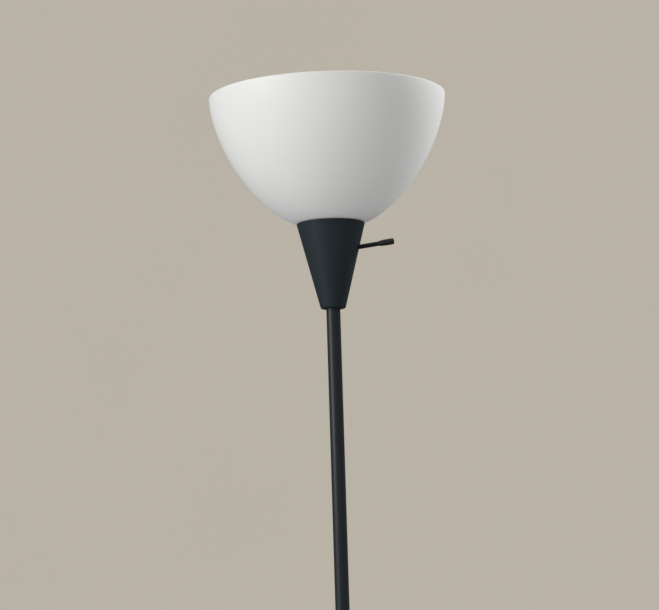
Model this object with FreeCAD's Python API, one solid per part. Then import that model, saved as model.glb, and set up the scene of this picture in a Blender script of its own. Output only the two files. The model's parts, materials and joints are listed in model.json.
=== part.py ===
import FreeCAD, Part
import math
import os

# Torchiere floor lamp, upright, in millimetres.
# Origin: centre of the base on the floor. +Z runs up the pole, +X points out along the switch handle,
# and -Y is the front, so the cord gland is at the back, on +Y.

os.makedirs("parts", exist_ok=True)

# Driving dimensions: base.
base_radius = 140.0
base_sheet = 1.0
base_corner = 6.0
base_top = 28.8
base_dome_radius = 980.0
seat_radius = 14.0
cover_edge_z = 1.5
pad_thickness = 2.0
plate_thickness = 1.0
weight_radius = 130.0
weight_thickness = 8.6
hub_radius = 24.0
nut_pocket_radius = 15.0
nut_pocket_top = 21.5
nut_low = 14.5
nut_high = 20.0
stud_hole_radius = 5.3
washer_bore = 5.2
foot_washer_thickness = 1.2
gland_z = 7.5
gland_bore = 3.1
gland_groove = 4.0
gland_flange = 5.4

# Driving dimensions: pole.
tube_radius = 8.0
tube_wall = 1.0
section_length = 308.0
section_count = 5
insert_length = 16.0
insert_radius = 6.98
stud_reach = 12.0
neck_depth = 15.0
thread_crest = 5.0
thread_root = 4.55
thread_pitch = 1.0
wireway_radius = 3.6
clearance = 0.05

# Driving dimensions: head. Heights here are above the bottom of the cone.
cone_height = 98.0
cone_bottom_radius = 14.1
cone_top_radius = 39.2
cone_wall = 1.6
cone_web_top = 18.0
shade_seat = 96.0
shade_radius = 136.0
shade_height = 149.5
shade_wall = 2.0
shade_flat_radius = 26.0
shade_hole_radius = 20.6
shade_height_power = 1.604
shade_radius_power = 1.616
socket_radius = 17.5
socket_neck = 19.8
socket_top = 110.5
chamber_radius = 15.9
chamber_top = 81.0
well_radius = 14.6
well_floor = 85.0
base_disc_radius = 15.7
base_disc_low = 44.8
base_disc_high = 56.0
cap_flange_radius = 18.2
cap_sheet = 1.5
cap_screw_height = 29.0
shell_radius = 13.55
shell_foot = 88.4
cap_radius = 12.65
cap_foot = 92.0
contact_rivet_radius = 1.5
cap_pitch = 3.6
bulb_split = 153.0
globe_radius = 30.0
globe_rise = 12.0

# Driving dimensions: rotary switch. Its handle rises slightly outwards, and distances run along it.
switch_height = 65.8
switch_lift = 6.0
spindle_radius = 2.6
spindle_start = -17.3
spindle_end = 66.0
cam_radius = 5.2
cam_flat = 4.2
cam_length = 14.0
clip_start = 8.0
clip_thickness = 0.8
bushing_radius = 3.8
bushing_start = 25.4
grip_radius = 3.6
grip_start = 55.5
grip_tip = 73.3
leaf_thickness = 0.4

# Driving dimensions: wiring.
lead_radius = 2.5
wire_radius = 1.0
lead_z = 7.0
lead_bend = 6.4
block_front = 58.0
block_length = 22.0
block_width = 21.0
block_height = 10.5
block_pitch = 5.0
block_screw_inset = 6.0
clamp_radius = 2.5
terminal_radius = 9.0
terminal_screw_radius = 1.75

# Levels and places worked out from them.
weight_bottom = pad_thickness + plate_thickness
weight_top = weight_bottom + weight_thickness
base_underside = base_top - base_sheet
foot_z = base_top + foot_washer_thickness
pole_top = foot_z + section_count * section_length
cone_z = pole_top - neck_depth
cone_lean = math.atan((cone_top_radius - cone_bottom_radius) / cone_height)
block_screw_rows = (block_front + block_screw_inset, block_front + block_length - block_screw_inset)

axis_x = FreeCAD.Vector(1, 0, 0)
axis_y = FreeCAD.Vector(0, 1, 0)
axis_z = FreeCAD.Vector(0, 0, 1)
floor_centre = FreeCAD.Vector(0, 0, 0)
head_foot = FreeCAD.Vector(0, 0, cone_z)
switch_angle = math.radians(switch_lift)
switch_axis = FreeCAD.Vector(math.cos(switch_angle), 0, math.sin(switch_angle))
switch_foot = head_foot + axis_z * switch_height


def save(name, solids):
    shape = solids[0] if len(solids) == 1 else Part.makeCompound(solids)
    shape.exportStep("parts/" + name + ".step")
    print(name, "solids", len(shape.Solids), "volume", round(shape.Volume, 1), "valid", shape.isValid())


def at(x, y, z):
    return FreeCAD.Vector(x, y, z)


def rod(radius, foot, length, direction=axis_z):
    return Part.makeCylinder(radius, length, foot, direction)


def disc(radius, low, high):
    return rod(radius, at(0, 0, low), high - low)


def ring(outer, inner, low, high):
    return disc(outer, low, high).cut(disc(inner, low - 1, high + 1))


def eased(before, corner, after):
    # The start point and the arc that round one corner (radius, level, rounding) of an outline.
    point = at(corner[0], 0, corner[1])
    towards_last = (at(before[0], 0, before[1]) - point).normalize()
    towards_next = (at(after[0], 0, after[1]) - point).normalize()
    half = 0.5 * towards_last.getAngle(towards_next)
    reach = corner[2] / math.tan(half)
    inward = (towards_last + towards_next).normalize()
    middle = point + inward * (corner[2] / math.sin(half) - corner[2])
    start = point + towards_last * reach
    end = point + towards_next * reach
    return [(start.x, start.z), ((middle.x, middle.z), (end.x, end.z))]


def turned(outline, axis=axis_z, foot=floor_centre):
    # A solid of revolution from a closed outline of (radius, level) corners. A third number rounds
    # its corner, and a pair of points is an arc through the first to the second.
    steps = []
    for i, corner in enumerate(outline):
        rounded = len(corner) == 3
        steps += eased(outline[i - 1], corner, outline[(i + 1) % len(outline)]) if rounded else [corner]
    edges = []
    last = at(steps[0][0], 0, steps[0][1])
    for step in steps[1:] + steps[:1]:
        is_arc = isinstance(step[0], tuple)
        end = step[1] if is_arc else step
        target = at(end[0], 0, end[1])
        if is_arc:
            edges.append(Part.Arc(last, at(step[0][0], 0, step[0][1]), target).toShape())
        elif last.distanceToPoint(target) > 1e-6:
            edges.append(Part.makeLine(last, target))
        last = target
    solid = Part.Face(Part.Wire(edges)).revolve(floor_centre, axis_z, 360)
    return placed(solid, axis, foot)


def placed(solid, axis, foot):
    # A solid made about +Z from the origin, standing along another axis from a foot point.
    copy = solid.copy()
    copy.Placement = FreeCAD.Placement(foot, FreeCAD.Rotation(axis_z, axis))
    return copy


def fine_thread(low, high):
    # The outline of a male M10 thread, drawn as rings from low to high.
    points = [(thread_root, low)]
    for i in range(int((high - low) / thread_pitch)):
        z = low + i * thread_pitch
        points += [(thread_root, z + 0.25 * thread_pitch), (thread_crest, z + 0.5 * thread_pitch),
                   (thread_crest, z + 0.75 * thread_pitch), (thread_root, z + thread_pitch)]
    return points


def round_thread(mean, depth, start, end, phase):
    # The outline of a lamp-cap thread, drawn as round rings from one level to another, up or down.
    half = math.copysign(0.5 * cap_pitch, end - start)
    steps = [(mean, start)]
    for i in range(round((end - start) / half)):
        middle = start + (i + 0.5) * half
        swing = depth * math.sin(2 * math.pi * (middle - phase) / cap_pitch)
        steps.append(((mean + swing, middle), (mean, middle + 0.5 * half)))
    return steps


def hollow_stud(low, high):
    outline = [(wireway_radius, low)] + fine_thread(low, high)
    return turned(outline + [(thread_root, high), (wireway_radius, high)])


def hexagon_nut(across_flats, low, high):
    corner = across_flats / math.sqrt(3)
    flat = 0.5 * across_flats
    drop = 0.6 * (corner - flat)
    angles = [math.radians(60 * i) for i in range(7)]
    points = [at(corner * math.cos(a), corner * math.sin(a), low) for a in angles]
    prism = Part.Face(Part.makePolygon(points)).extrude(axis_z * (high - low))
    turned_down = turned([(0, low), (flat, low), (corner, low + drop), (corner, high - drop), (flat, high),
                          (0, high)])
    return prism.common(turned_down).cut(disc(thread_crest + clearance, low - 1, high + 1))


def routed(points, bends, radius):
    # A round cable along straight runs joined by tangent arcs, with one bend radius per inner point.
    path = []
    last = points[0]
    for i, bend in enumerate(bends):
        corner = points[i + 1]
        before = (corner - points[i]).normalize()
        after = (points[i + 2] - corner).normalize()
        half = 0.5 * before.getAngle(after)
        start = corner - before * bend * math.tan(half)
        end = corner + after * bend * math.tan(half)
        middle = corner + (after - before).normalize() * bend * (1 / math.cos(half) - 1)
        path += [Part.makeLine(last, start), Part.Arc(start, middle, end).toShape()]
        last = end
    path.append(Part.makeLine(last, points[-1]))
    spine = Part.Wire(path)
    section = Part.Wire(Part.makeCircle(radius, points[0], points[1] - points[0]))
    cable = spine.makePipeShell([section], True, False)
    full_volume = math.pi * radius ** 2 * spine.Length
    print("cable bends", bends, "volume ratio", round(cable.Volume / full_volume, 4))
    return cable


def strip(points, thickness, width, across):
    # Bent sheet metal: a line of points thickened in its own plane and widened across it.
    outline = Part.makePolygon(points).makeOffset2D(0.5 * thickness, 2, False, False)
    sheet = Part.Face(outline).extrude(across * width)
    return sheet.translated(across * (-0.5 * width))


# Base: a domed steel cover over a cast weight, clamped together by a hollow threaded stud.

def domed_drum(drop):
    # The space under the cover's outside skin, or that far inside it.
    radius = base_radius - drop
    corner = base_corner - drop
    sphere = base_dome_radius - drop
    centre_level = base_top - base_dome_radius
    edge_r = radius - corner
    edge_z = centre_level + math.sqrt((sphere - corner) ** 2 - edge_r ** 2)
    lean = math.asin(edge_r / (sphere - corner))
    half = 0.5 * (math.pi / 2 + lean)
    bend_middle = (edge_r + corner * math.sin(half), edge_z + corner * math.cos(half))
    bend_end = (sphere * math.sin(lean), centre_level + sphere * math.cos(lean))
    dome_r = 0.5 * (bend_end[0] + seat_radius)
    dome_middle = (dome_r, centre_level + math.sqrt(sphere ** 2 - dome_r ** 2))
    return turned([(0, cover_edge_z - drop), (radius, cover_edge_z - drop), (radius, edge_z),
                   (bend_middle, bend_end), (dome_middle, (seat_radius, base_top - drop)),
                   (0, base_top - drop)])


def base_cover():
    shell = domed_drum(0).cut(domed_drum(base_sheet))
    shell = shell.cut(disc(stud_hole_radius, 0, foot_z))
    return shell.cut(rod(gland_groove + clearance, at(0, base_radius - 20, gland_z), 30, axis_y))


def base_weight():
    rim = weight_radius
    disc_edge = [(0, weight_bottom), (rim, weight_bottom, 1), (rim, weight_top, 2),
                 (hub_radius, weight_top, 4)]
    hub = [(hub_radius, base_underside - 1), (seat_radius, base_underside), (0, base_underside)]
    body = turned(disc_edge + hub)
    body = body.cut(disc(nut_pocket_radius, weight_bottom - 1, nut_pocket_top))
    body = body.cut(disc(stud_hole_radius, 0, foot_z))
    slot_width = 14
    lead_slot = Part.makeBox(slot_width, rim + 5, weight_thickness, at(-0.5 * slot_width, 0, weight_bottom))
    room = 1.5
    pocket_width = block_width + 2
    block_slot = Part.makeBox(pocket_width, block_length + 2 * room, weight_thickness,
                              at(-0.5 * pocket_width, block_front - room, weight_bottom))
    return body.cut(lead_slot).cut(block_slot)


def cord_gland():
    # Grommet snapped into the hole in the cover's back wall, its bore open to the outside.
    inside = base_radius - 3.6
    wall_in = base_radius - 1.2
    wall_out = base_radius + 0.05
    outside = base_radius + 1.9
    outline = [(gland_bore, inside), (gland_flange, inside, 0.5), (gland_flange, wall_in),
               (gland_groove, wall_in), (gland_groove, wall_out), (gland_flange, wall_out),
               (gland_flange, outside, 1), (gland_bore, outside)]
    return turned(outline, axis_y, at(0, 0, gland_z))


def terminal_block():
    corner = at(-0.5 * block_width, block_front, weight_bottom)
    block = Part.makeBox(block_width, block_length, block_height, corner)
    for x in (-block_pitch, block_pitch):
        block = block.cut(rod(clamp_radius + 0.1, at(x, block_front - 1, lead_z), block_length + 2, axis_y))
        for y in block_screw_rows:
            block = block.cut(rod(1.7, at(x, y, lead_z), block_height))
    return block


def block_clamps():
    clamps = []
    for x in (-block_pitch, block_pitch):
        clamp = rod(clamp_radius, at(x, block_front + 1.5, lead_z), block_length - 3, axis_y)
        clamp = clamp.cut(rod(1.4, at(x, block_front, lead_z), block_length, axis_y))
        for y in block_screw_rows:
            clamp = clamp.cut(rod(1.3, at(x, y, lead_z), 5))
        clamps.append(clamp)
    return clamps


def block_screws():
    screws = []
    for x in (-block_pitch, block_pitch):
        for y in block_screw_rows:
            foot = at(x, y, lead_z + wire_radius + 0.02)
            slot = Part.makeBox(3, 0.5, 0.8, foot + at(-1.5, -0.25, 3.9))
            screws.append(rod(1.25, foot, 4.6).cut(slot))
    return screws


# Pole: equal tubes, each with a pressed-in female insert on top and, above the first, a stud below.

def section_foot(number):
    return foot_z + number * section_length


def pole_section(number):
    low = section_foot(number)
    high = low + section_length
    inner = tube_radius - tube_wall
    return turned([(inner, low, 0.2), (tube_radius, low, 0.3), (tube_radius, high, 0.3), (inner, high, 0.2)])


def pole_inserts():
    lows = [foot_z] + [section_foot(i + 1) - insert_length for i in range(section_count)]
    return [ring(insert_radius, thread_crest + clearance, z, z + insert_length) for z in lows]


def pole_studs():
    studs = []
    for i in range(1, section_count):
        z = section_foot(i)
        stem = fine_thread(z - stud_reach, z)
        studs.append(turned([(wireway_radius, z - stud_reach)] + stem +
                            [(insert_radius, z), (insert_radius, z + insert_length),
                             (wireway_radius, z + insert_length)]))
    return studs


# Head: cone, socket and switch. All outlines below count from the bottom of the cone.

def head_turned(outline):
    return turned(outline, axis_z, head_foot)


def cone_radius(level):
    return cone_bottom_radius + level * math.tan(cone_lean)


def switch_rod(radius, start, length):
    return rod(radius, switch_foot + switch_axis * start, length, switch_axis)


def socket_cone():
    wall = cone_wall / math.cos(cone_lean)
    bore = tube_radius + clearance
    outside = [(bore, 0), (cone_bottom_radius, 0, 1.8), (cone_top_radius, cone_height, 0.4)]
    inside = [(cone_top_radius - wall, cone_height, 0.4),
              (cone_radius(cone_web_top) - wall, cone_web_top, 2)]
    neck = [(stud_hole_radius, cone_web_top), (stud_hole_radius, neck_depth), (bore, neck_depth)]
    shell = head_turned(outside + inside + neck)
    return shell.cut(switch_rod(bushing_radius + clearance, bushing_start - 5, 20))


def star_washer():
    outer = 9
    low = cone_z + cone_web_top
    washer = ring(outer, washer_bore, low, low + 1)
    for i in range(12):
        angle = math.radians(30 * i)
        washer = washer.cut(rod(0.7, at(outer * math.cos(angle), outer * math.sin(angle), low - 1), 3))
    return washer


def socket_cap():
    # Threaded hub, then a shallow dish that carries the socket's body.
    bore = thread_crest + clearance
    hub = 9
    inner = cap_flange_radius - cap_sheet
    cap = head_turned([(bore, 25), (hub, 25, 0.8), (hub, 33, 1), (cap_flange_radius, 36, 1),
                       (cap_flange_radius, 46), (inner, 46), (inner, 38), (hub, 35), (bore, 35)])
    return cap.cut(rod(1.55, head_foot + at(0, -hub - 1, cap_screw_height), 6, axis_y))


def cap_set_screw():
    screw = rod(1.5, head_foot + at(0, -9, cap_screw_height), 3.9, axis_y)
    return screw.cut(rod(0.75, head_foot + at(0, -9.5, cap_screw_height), 2, axis_y))


def socket_base():
    base = ring(base_disc_radius, 2.6, cone_z + base_disc_low, cone_z + base_disc_high)
    for y in (-terminal_radius, terminal_radius):
        base = base.cut(rod(terminal_screw_radius + clearance, head_foot + at(0, y, base_disc_low - 1), 11))
    return base


def terminal_screws():
    screws = []
    for y in (-terminal_radius, terminal_radius):
        seat = head_foot + at(0, y, base_disc_low)
        head = rod(3.2, seat, 3.3, axis_z * -1)
        shank = rod(terminal_screw_radius, seat, 9)
        screws.append(head.fuse(shank).removeSplitter())
    return screws


def socket_body():
    # A chamber for the switch below, a flange under the shade, and the threaded neck round the bulb's
    # well.
    neck_root = socket_neck - 0.8
    neck = []
    for i in range(5):
        z = shade_seat + 1.2 + 2.5 * i
        neck += [(neck_root, z), (socket_neck, z + 0.6), (socket_neck, z + 1.3), (neck_root, z + 1.9)]
    skirt = 16.6
    flange = 27
    chamber = [(0, chamber_top), (chamber_radius, chamber_top), (chamber_radius, 38.5), (skirt, 38.5)]
    outside = [(skirt, 46.1), (socket_radius, 46.1), (socket_radius, 90, 2), (flange, 93.5),
               (flange, shade_seat, 0.5), (neck_root, shade_seat)]
    well = [(neck_root, socket_top, 0.6), (well_radius, socket_top, 1), (well_radius, well_floor),
            (0, well_floor)]
    body = head_turned(chamber + outside + neck + well)
    body = body.cut(switch_rod(spindle_radius + clearance, -20, 40))
    return body.cut(rod(contact_rivet_radius + clearance, head_foot + at(0, 0, chamber_top - 1), 6))


def screw_shell():
    sheet = 0.4
    hole = 9
    top = shell_foot + 6 * cap_pitch
    outer = round_thread(shell_radius + sheet, 0.3, shell_foot, top, shell_foot)
    inner = round_thread(shell_radius, 0.3, top, shell_foot, shell_foot)
    return head_turned([(hole, well_floor), (shell_radius + sheet, well_floor)] + outer + inner +
                       [(shell_radius, well_floor + sheet), (hole, well_floor + sheet)])


def centre_contact():
    # A strip folded back over itself, with a rivet down through the well's floor.
    fold = ((-7, 0.25), (5, 0.25), (6, 1), (2.5, 1.7), (-2.5, 1.7))
    line = [head_foot + at(x, 0, well_floor + rise) for x, rise in fold]
    tongue = strip(line, leaf_thickness, 5, axis_y)
    rivet_foot = chamber_top - 1.2
    rivet = rod(contact_rivet_radius, head_foot + at(0, 0, rivet_foot), well_floor - rivet_foot + 0.1)
    return tongue.fuse(rivet).removeSplitter()


def shade():
    # The bowl's outside is a powered quarter ellipse from the rim down to its flat bottom.
    span = shade_radius - shade_flat_radius
    rim = shade_seat + shade_height
    quarter = 0.5 * math.pi

    def outside(u):
        drop = math.sin(u) ** (2 / shade_height_power)
        spread = abs(math.cos(u)) ** (2 / shade_radius_power)
        return at(shade_flat_radius + span * spread, 0, rim - shade_height * drop)

    def inside(u):
        along = (outside(u + 1e-4) - outside(u - 1e-4)).normalize()
        return outside(u) + at(along.z, 0, -along.x) * shade_wall

    angles = [quarter * i / 24 for i in range(1, 24)]
    lip_in = at(shade_radius - shade_wall, 0, rim)
    flat_in = at(shade_flat_radius, 0, shade_seat + shade_wall)
    outer_skin = Part.BSplineCurve()
    outer_skin.interpolate([outside(0)] + [outside(u) for u in angles] + [outside(quarter)])
    inner_skin = Part.BSplineCurve()
    inner_skin.interpolate([flat_in] + [inside(u) for u in reversed(angles)] + [lip_in])
    lip_middle = at(shade_radius - 0.5 * shade_wall, 0, rim + 0.5 * shade_wall)
    hole_low = at(shade_hole_radius, 0, shade_seat)
    hole_high = at(shade_hole_radius, 0, shade_seat + shade_wall)
    section = Part.Wire([outer_skin.toShape(), Part.makeLine(outside(quarter), hole_low),
                         Part.makeLine(hole_low, hole_high), Part.makeLine(hole_high, flat_in),
                         inner_skin.toShape(), Part.Arc(lip_in, lip_middle, outside(0)).toShape()])
    bowl = Part.Face(section).revolve(floor_centre, axis_z, 360)
    return placed(bowl, axis_z, head_foot)


def shade_ring():
    top_of_shade = shade_seat + shade_wall
    bore = socket_neck + 0.15
    flange = 26.0
    collar = 22.6
    collar_foot = top_of_shade + 2.5
    collar_top = top_of_shade + 9.5
    nut = head_turned([(bore, top_of_shade), (flange, top_of_shade, 0.5), (flange, collar_foot, 1),
                       (collar, collar_foot), (collar, collar_top, 1), (bore, collar_top)])
    for i in range(18):
        angle = math.radians(20 * i)
        foot = head_foot + at(collar * math.cos(angle), collar * math.sin(angle), collar_foot - 0.5)
        nut = nut.fuse(rod(0.8, foot, 6.5))
    return nut.removeSplitter()


def switch_bushing():
    foot = (cone_bottom_radius, 0)
    rim = (cone_top_radius, cone_height)
    outside = head_turned([(0, 0), foot, rim, (0, cone_height)])
    barrel = switch_rod(bushing_radius, bushing_start, 12).common(outside)
    flange = switch_rod(5, bushing_start, 1.6)
    bore = switch_rod(spindle_radius + clearance, bushing_start - 1, 20)
    return barrel.fuse(flange).cut(bore).removeSplitter()


def switch_spindle():
    outline = [(0, spindle_start), (spindle_radius, spindle_start, 0.4), (spindle_radius, spindle_end, 0.4),
               (0, spindle_end)]
    return turned(outline, switch_axis, switch_foot)


def switch_cam():
    # Square with rounded corners, so each quarter turn of its flats moves the leaves.
    low = -0.5 * cam_length
    cam = Part.makeBox(2 * cam_flat, 2 * cam_flat, cam_length, at(-cam_flat, -cam_flat, low))
    cam = cam.common(disc(cam_radius, low, low + cam_length))
    return placed(cam.cut(disc(spindle_radius, low - 1, cam_length)), switch_axis, switch_foot)


def switch_clip():
    # A snap ring, open on one side.
    clip = ring(cam_flat, spindle_radius, clip_start, clip_start + clip_thickness)
    gap = Part.makeBox(6, 3, 3, at(-6, -1.5, clip_start - 1))
    return placed(clip.cut(gap), switch_axis, switch_foot)


def switch_grip():
    shoulder = (grip_radius - 0.4, grip_start + 2.2)
    full = (grip_radius, grip_start + 7)
    outside = [(spindle_radius + 0.2, grip_start), shoulder, full, (grip_radius, grip_tip, 1.6),
               (0, grip_tip)]
    inside = [(0, spindle_end), (spindle_radius, spindle_end), (spindle_radius, grip_start)]
    return turned(outside + inside, switch_axis, switch_foot)


def switch_leaves():
    # Two springs that stand on the socket's base disc and press towards the cam.
    leaves = []
    for side in (-1, 1):
        line = [at(0, side * y, z) for y, z in ((9.5, 56.2), (9.5, 59), (5.8, 62), (5.8, 72))]
        leaves.append(strip([head_foot + p for p in line], leaf_thickness, 6, axis_x))
    return leaves


def inner_lead():
    start = block_front - 12
    corners = [at(0, start, lead_z), at(0, 0, lead_z), at(0, 0, cone_z + 36)]
    sheath = routed(corners, [lead_bend], lead_radius)
    lead = sheath
    for side in (-1, 1):
        near = side * 1.2
        pole = side * block_pitch
        screw = side * terminal_radius
        low = [at(near, start - 2, lead_z), at(near, start + 3, lead_z), at(pole, block_front - 3, lead_z),
               at(pole, block_front + 10, lead_z)]
        high = [head_foot + at(0, y, z) for y, z in ((near, 34), (near, 37.6), (screw, 39), (screw, 41.5))]
        lead = lead.fuse(routed(low, [4, 4], wire_radius)).fuse(routed(high, [1.6, 1.6], wire_radius))
    return lead.removeSplitter()


# Bulb: a screw-cap lamp of the common round shape.

def bulb_cap():
    top = cap_foot + 5 * cap_pitch
    outer = round_thread(cap_radius, 0.25, cap_foot, top, cap_foot)
    inner = round_thread(cap_radius - 0.4, 0.25, top, cap_foot, cap_foot)
    flare = [(12.6, 113.6), (13.3, 115.2), (12.9, 115.2), (12.2, 113.8)]
    return head_turned([(10.6, 90.6), (11, 90.6)] + outer + flare + inner + [(10.6, 91)])


def bulb_insulator():
    return head_turned([(0, 88.4), (5, 88.4, 1), (10.6, 90.6), (10.6, 91.6), (0, 91.6)])


def bulb_contact():
    return head_turned([(0, 87.2), (2.2, 87.3), (4, 88.4), (0, 88.4)])


def bulb_housing():
    outside = [(10.2, 107), (11.6, 107), (11.6, 114.8), (13.9, 116), ((20.1, 134.7), (27.5, bulb_split))]
    inside = [(26.1, bulb_split), (25.4, bulb_split - 1.4), ((18.7, 135.2), (12.4, 117.2)), (10.2, 115.6)]
    return head_turned(outside + inside)


def bulb_board():
    low = bulb_split - 1.4
    return head_turned([(0, low), (25.2, low), (25.9, bulb_split), (0, bulb_split)])


def bulb_globe():
    centre = bulb_split + globe_rise
    inner_radius = globe_radius - 1.2
    out_edge = math.sqrt(globe_radius ** 2 - globe_rise ** 2)
    in_edge = math.sqrt(inner_radius ** 2 - globe_rise ** 2)
    return head_turned([(in_edge, bulb_split), (out_edge, bulb_split),
                        ((globe_radius, centre), (0, centre + globe_radius)), (0, centre + inner_radius),
                        ((inner_radius, centre), (in_edge, bulb_split))])


pieces = {
    "base_pad": [ring(weight_radius, 98, 0, pad_thickness)],
    "base_plate": [ring(135, 13, pad_thickness, weight_bottom)],
    "base_weight": [base_weight()],
    "base_cover": [base_cover()],
    "base_stud": [hollow_stud(13.5, foot_z + stud_reach)],
    "base_nut": [hexagon_nut(17, nut_low, nut_high)],
    "base_washer": [ring(12, washer_bore, nut_high, nut_pocket_top)],
    "foot_washer": [ring(9.5, washer_bore, base_top, foot_z)],
    "cord_gland": [cord_gland()],
    "terminal_block": [terminal_block()],
    "block_clamps": block_clamps(),
    "block_screws": block_screws(),
    "pole_inserts": pole_inserts(),
    "pole_studs": pole_studs(),
    "socket_cone": [socket_cone()],
    "cone_stud": [hollow_stud(cone_z + 1, cone_z + 36)],
    "cone_star_washer": [star_washer()],
    "cone_nut": [hexagon_nut(14, cone_z + cone_web_top + 1, cone_z + cone_web_top + 6)],
    "socket_cap": [socket_cap()],
    "cap_set_screw": [cap_set_screw()],
    "socket_base": [socket_base()],
    "terminal_screws": terminal_screws(),
    "socket_body": [socket_body()],
    "screw_shell": [screw_shell()],
    "centre_contact": [centre_contact()],
    "shade": [shade()],
    "shade_ring": [shade_ring()],
    "switch_bushing": [switch_bushing()],
    "switch_leaves": switch_leaves(),
    "switch_spindle": [switch_spindle()],
    "switch_cam": [switch_cam()],
    "switch_clip": [switch_clip()],
    "switch_grip": [switch_grip()],
    "inner_lead": [inner_lead()],
    "bulb_cap": [bulb_cap()],
    "bulb_insulator": [bulb_insulator()],
    "bulb_contact": [bulb_contact()],
    "bulb_housing": [bulb_housing()],
    "bulb_board": [bulb_board()],
    "bulb_globe": [bulb_globe()],
}
for number in range(section_count):
    pieces["pole_section_" + str(number + 1)] = [pole_section(number)]

for name, solids in pieces.items():
    save(name, solids)
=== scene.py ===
import json
import math

import bmesh
import bpy
from mathutils import Matrix, Vector


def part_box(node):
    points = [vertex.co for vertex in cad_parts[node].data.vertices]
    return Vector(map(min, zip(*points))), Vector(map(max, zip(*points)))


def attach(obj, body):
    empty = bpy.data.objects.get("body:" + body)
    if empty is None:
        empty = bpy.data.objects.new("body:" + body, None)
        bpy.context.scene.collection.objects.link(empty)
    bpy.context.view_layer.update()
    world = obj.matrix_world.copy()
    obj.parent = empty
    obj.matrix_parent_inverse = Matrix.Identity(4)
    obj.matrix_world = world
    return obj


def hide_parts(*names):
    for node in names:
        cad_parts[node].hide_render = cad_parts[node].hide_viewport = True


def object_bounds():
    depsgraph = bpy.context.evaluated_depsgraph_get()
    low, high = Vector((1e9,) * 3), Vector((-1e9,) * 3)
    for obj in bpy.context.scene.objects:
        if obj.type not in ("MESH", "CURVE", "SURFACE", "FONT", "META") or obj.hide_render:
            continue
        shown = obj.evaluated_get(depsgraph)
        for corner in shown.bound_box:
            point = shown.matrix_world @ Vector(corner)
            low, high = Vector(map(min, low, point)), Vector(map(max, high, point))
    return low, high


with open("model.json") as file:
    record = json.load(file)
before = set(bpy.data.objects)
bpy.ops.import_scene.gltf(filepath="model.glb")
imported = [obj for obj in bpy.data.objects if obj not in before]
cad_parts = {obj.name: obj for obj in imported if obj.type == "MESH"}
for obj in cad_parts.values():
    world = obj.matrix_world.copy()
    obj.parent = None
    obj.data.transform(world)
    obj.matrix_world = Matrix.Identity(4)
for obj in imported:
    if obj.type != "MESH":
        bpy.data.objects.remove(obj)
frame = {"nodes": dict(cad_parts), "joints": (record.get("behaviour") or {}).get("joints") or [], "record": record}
cadLow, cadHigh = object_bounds()
cadNodes = frame["nodes"]
print("frame loaded:", len(cadNodes), "nodes")

coneLow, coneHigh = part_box("socket_cone")
upright = Vector((0, 0, 1))

# camera and lights: angles are degrees round the lamp, + is to the right of the camera
shot = {
    "azimuth": 12.0,
    "distance": 3.0,
    "belowCone": 0.404,  # lens height under the foot of the cone
    "tiltUp": 7.75,
    "turn": 0.08,
    "roll": -1.75,
    "lens": 145.0,
    "farthest": 100.0,  # how far the camera sees
}

lamps = {
    "window": {"angle": -60, "distance": 2.4, "height": 2.3, "wide": 1.5, "tall": 1.7, "watts": 26,
               "colour": (0.98, 1.0, 0.98), "glossy": True},
    "frontFill": {"angle": -40, "distance": 2.4, "height": 1.7, "wide": 1.5, "tall": 1.7, "watts": 11,
                  "colour": (1.0, 0.95, 0.91), "glossy": False},
    "sideGlow": {"angle": 118, "distance": 2.2, "height": 3.0, "wide": 0.9, "tall": 1.5, "watts": 65,
                 "colour": (1.0, 0.98, 0.95), "glossy": False},
}

room = {
    "ambient": 0.457,
    "ambientColour": (1.0, 0.988, 0.97),
    "gloss": 0.10,  # how bright the room looks in reflections, level with the lamp
    "ceilingGloss": 0.75,  # and towards the ceiling
    "ceilingFrom": 0.25,  # how far up, as a sine, the ceiling starts and is full
    "ceilingFull": 0.9,
    "radius": 13.0,
    "sweep": 3.0,
    "height": 24.0,
    "floorDrop": 0.0004,
    "floorRings": (0, 0.5, 2.0, 5.0),
    "sweepSteps": 24,
    "turns": 128,
    "roughness": 0.9,
    "shine": 0.1,
    "drift": 0.012,
    "driftScale": 0.7,
    "colour": (0.80, 0.745, 0.640),
    "glow": (0.115, 0.104, 0.092),
}


def aroundLamp(degrees, distance, height):
    angle = math.radians(shot["azimuth"] + degrees)
    return Vector((distance * math.sin(angle), -distance * math.cos(angle), height))


def addToScene(name, data):
    thing = bpy.data.objects.new(name, data)
    bpy.context.scene.collection.objects.link(thing)
    return thing


def makeCamera():
    data = bpy.data.cameras.new("camera")
    data.lens = shot["lens"]
    data.clip_end = shot["farthest"]
    camera = addToScene("camera", data)
    place = aroundLamp(0, shot["distance"], coneLow.z - shot["belowCone"])
    heading = Matrix.Rotation(math.radians(shot["azimuth"] + shot["turn"]), 4, "Z")
    lift = Matrix.Rotation(math.radians(90 + shot["tiltUp"]), 4, "X")
    lean = Matrix.Rotation(math.radians(shot["roll"]), 4, "Z")
    camera.matrix_world = Matrix.Translation(place) @ heading @ lift @ lean
    bpy.context.scene.camera = camera


def makeLights():
    for name, lamp in lamps.items():
        data = bpy.data.lights.new(name, "AREA")
        data.shape = "RECTANGLE"
        data.size = lamp["wide"]
        data.size_y = lamp["tall"]
        data.energy = lamp["watts"]
        data.color = lamp["colour"]
        light = addToScene(name, data)
        light.visible_glossy = lamp["glossy"]
        light.location = aroundLamp(lamp["angle"], lamp["distance"], lamp["height"])
        aim = Vector((0, 0, coneHigh.z)) - light.location
        light.rotation_euler = aim.to_track_quat("-Z", "Y").to_euler()


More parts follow.
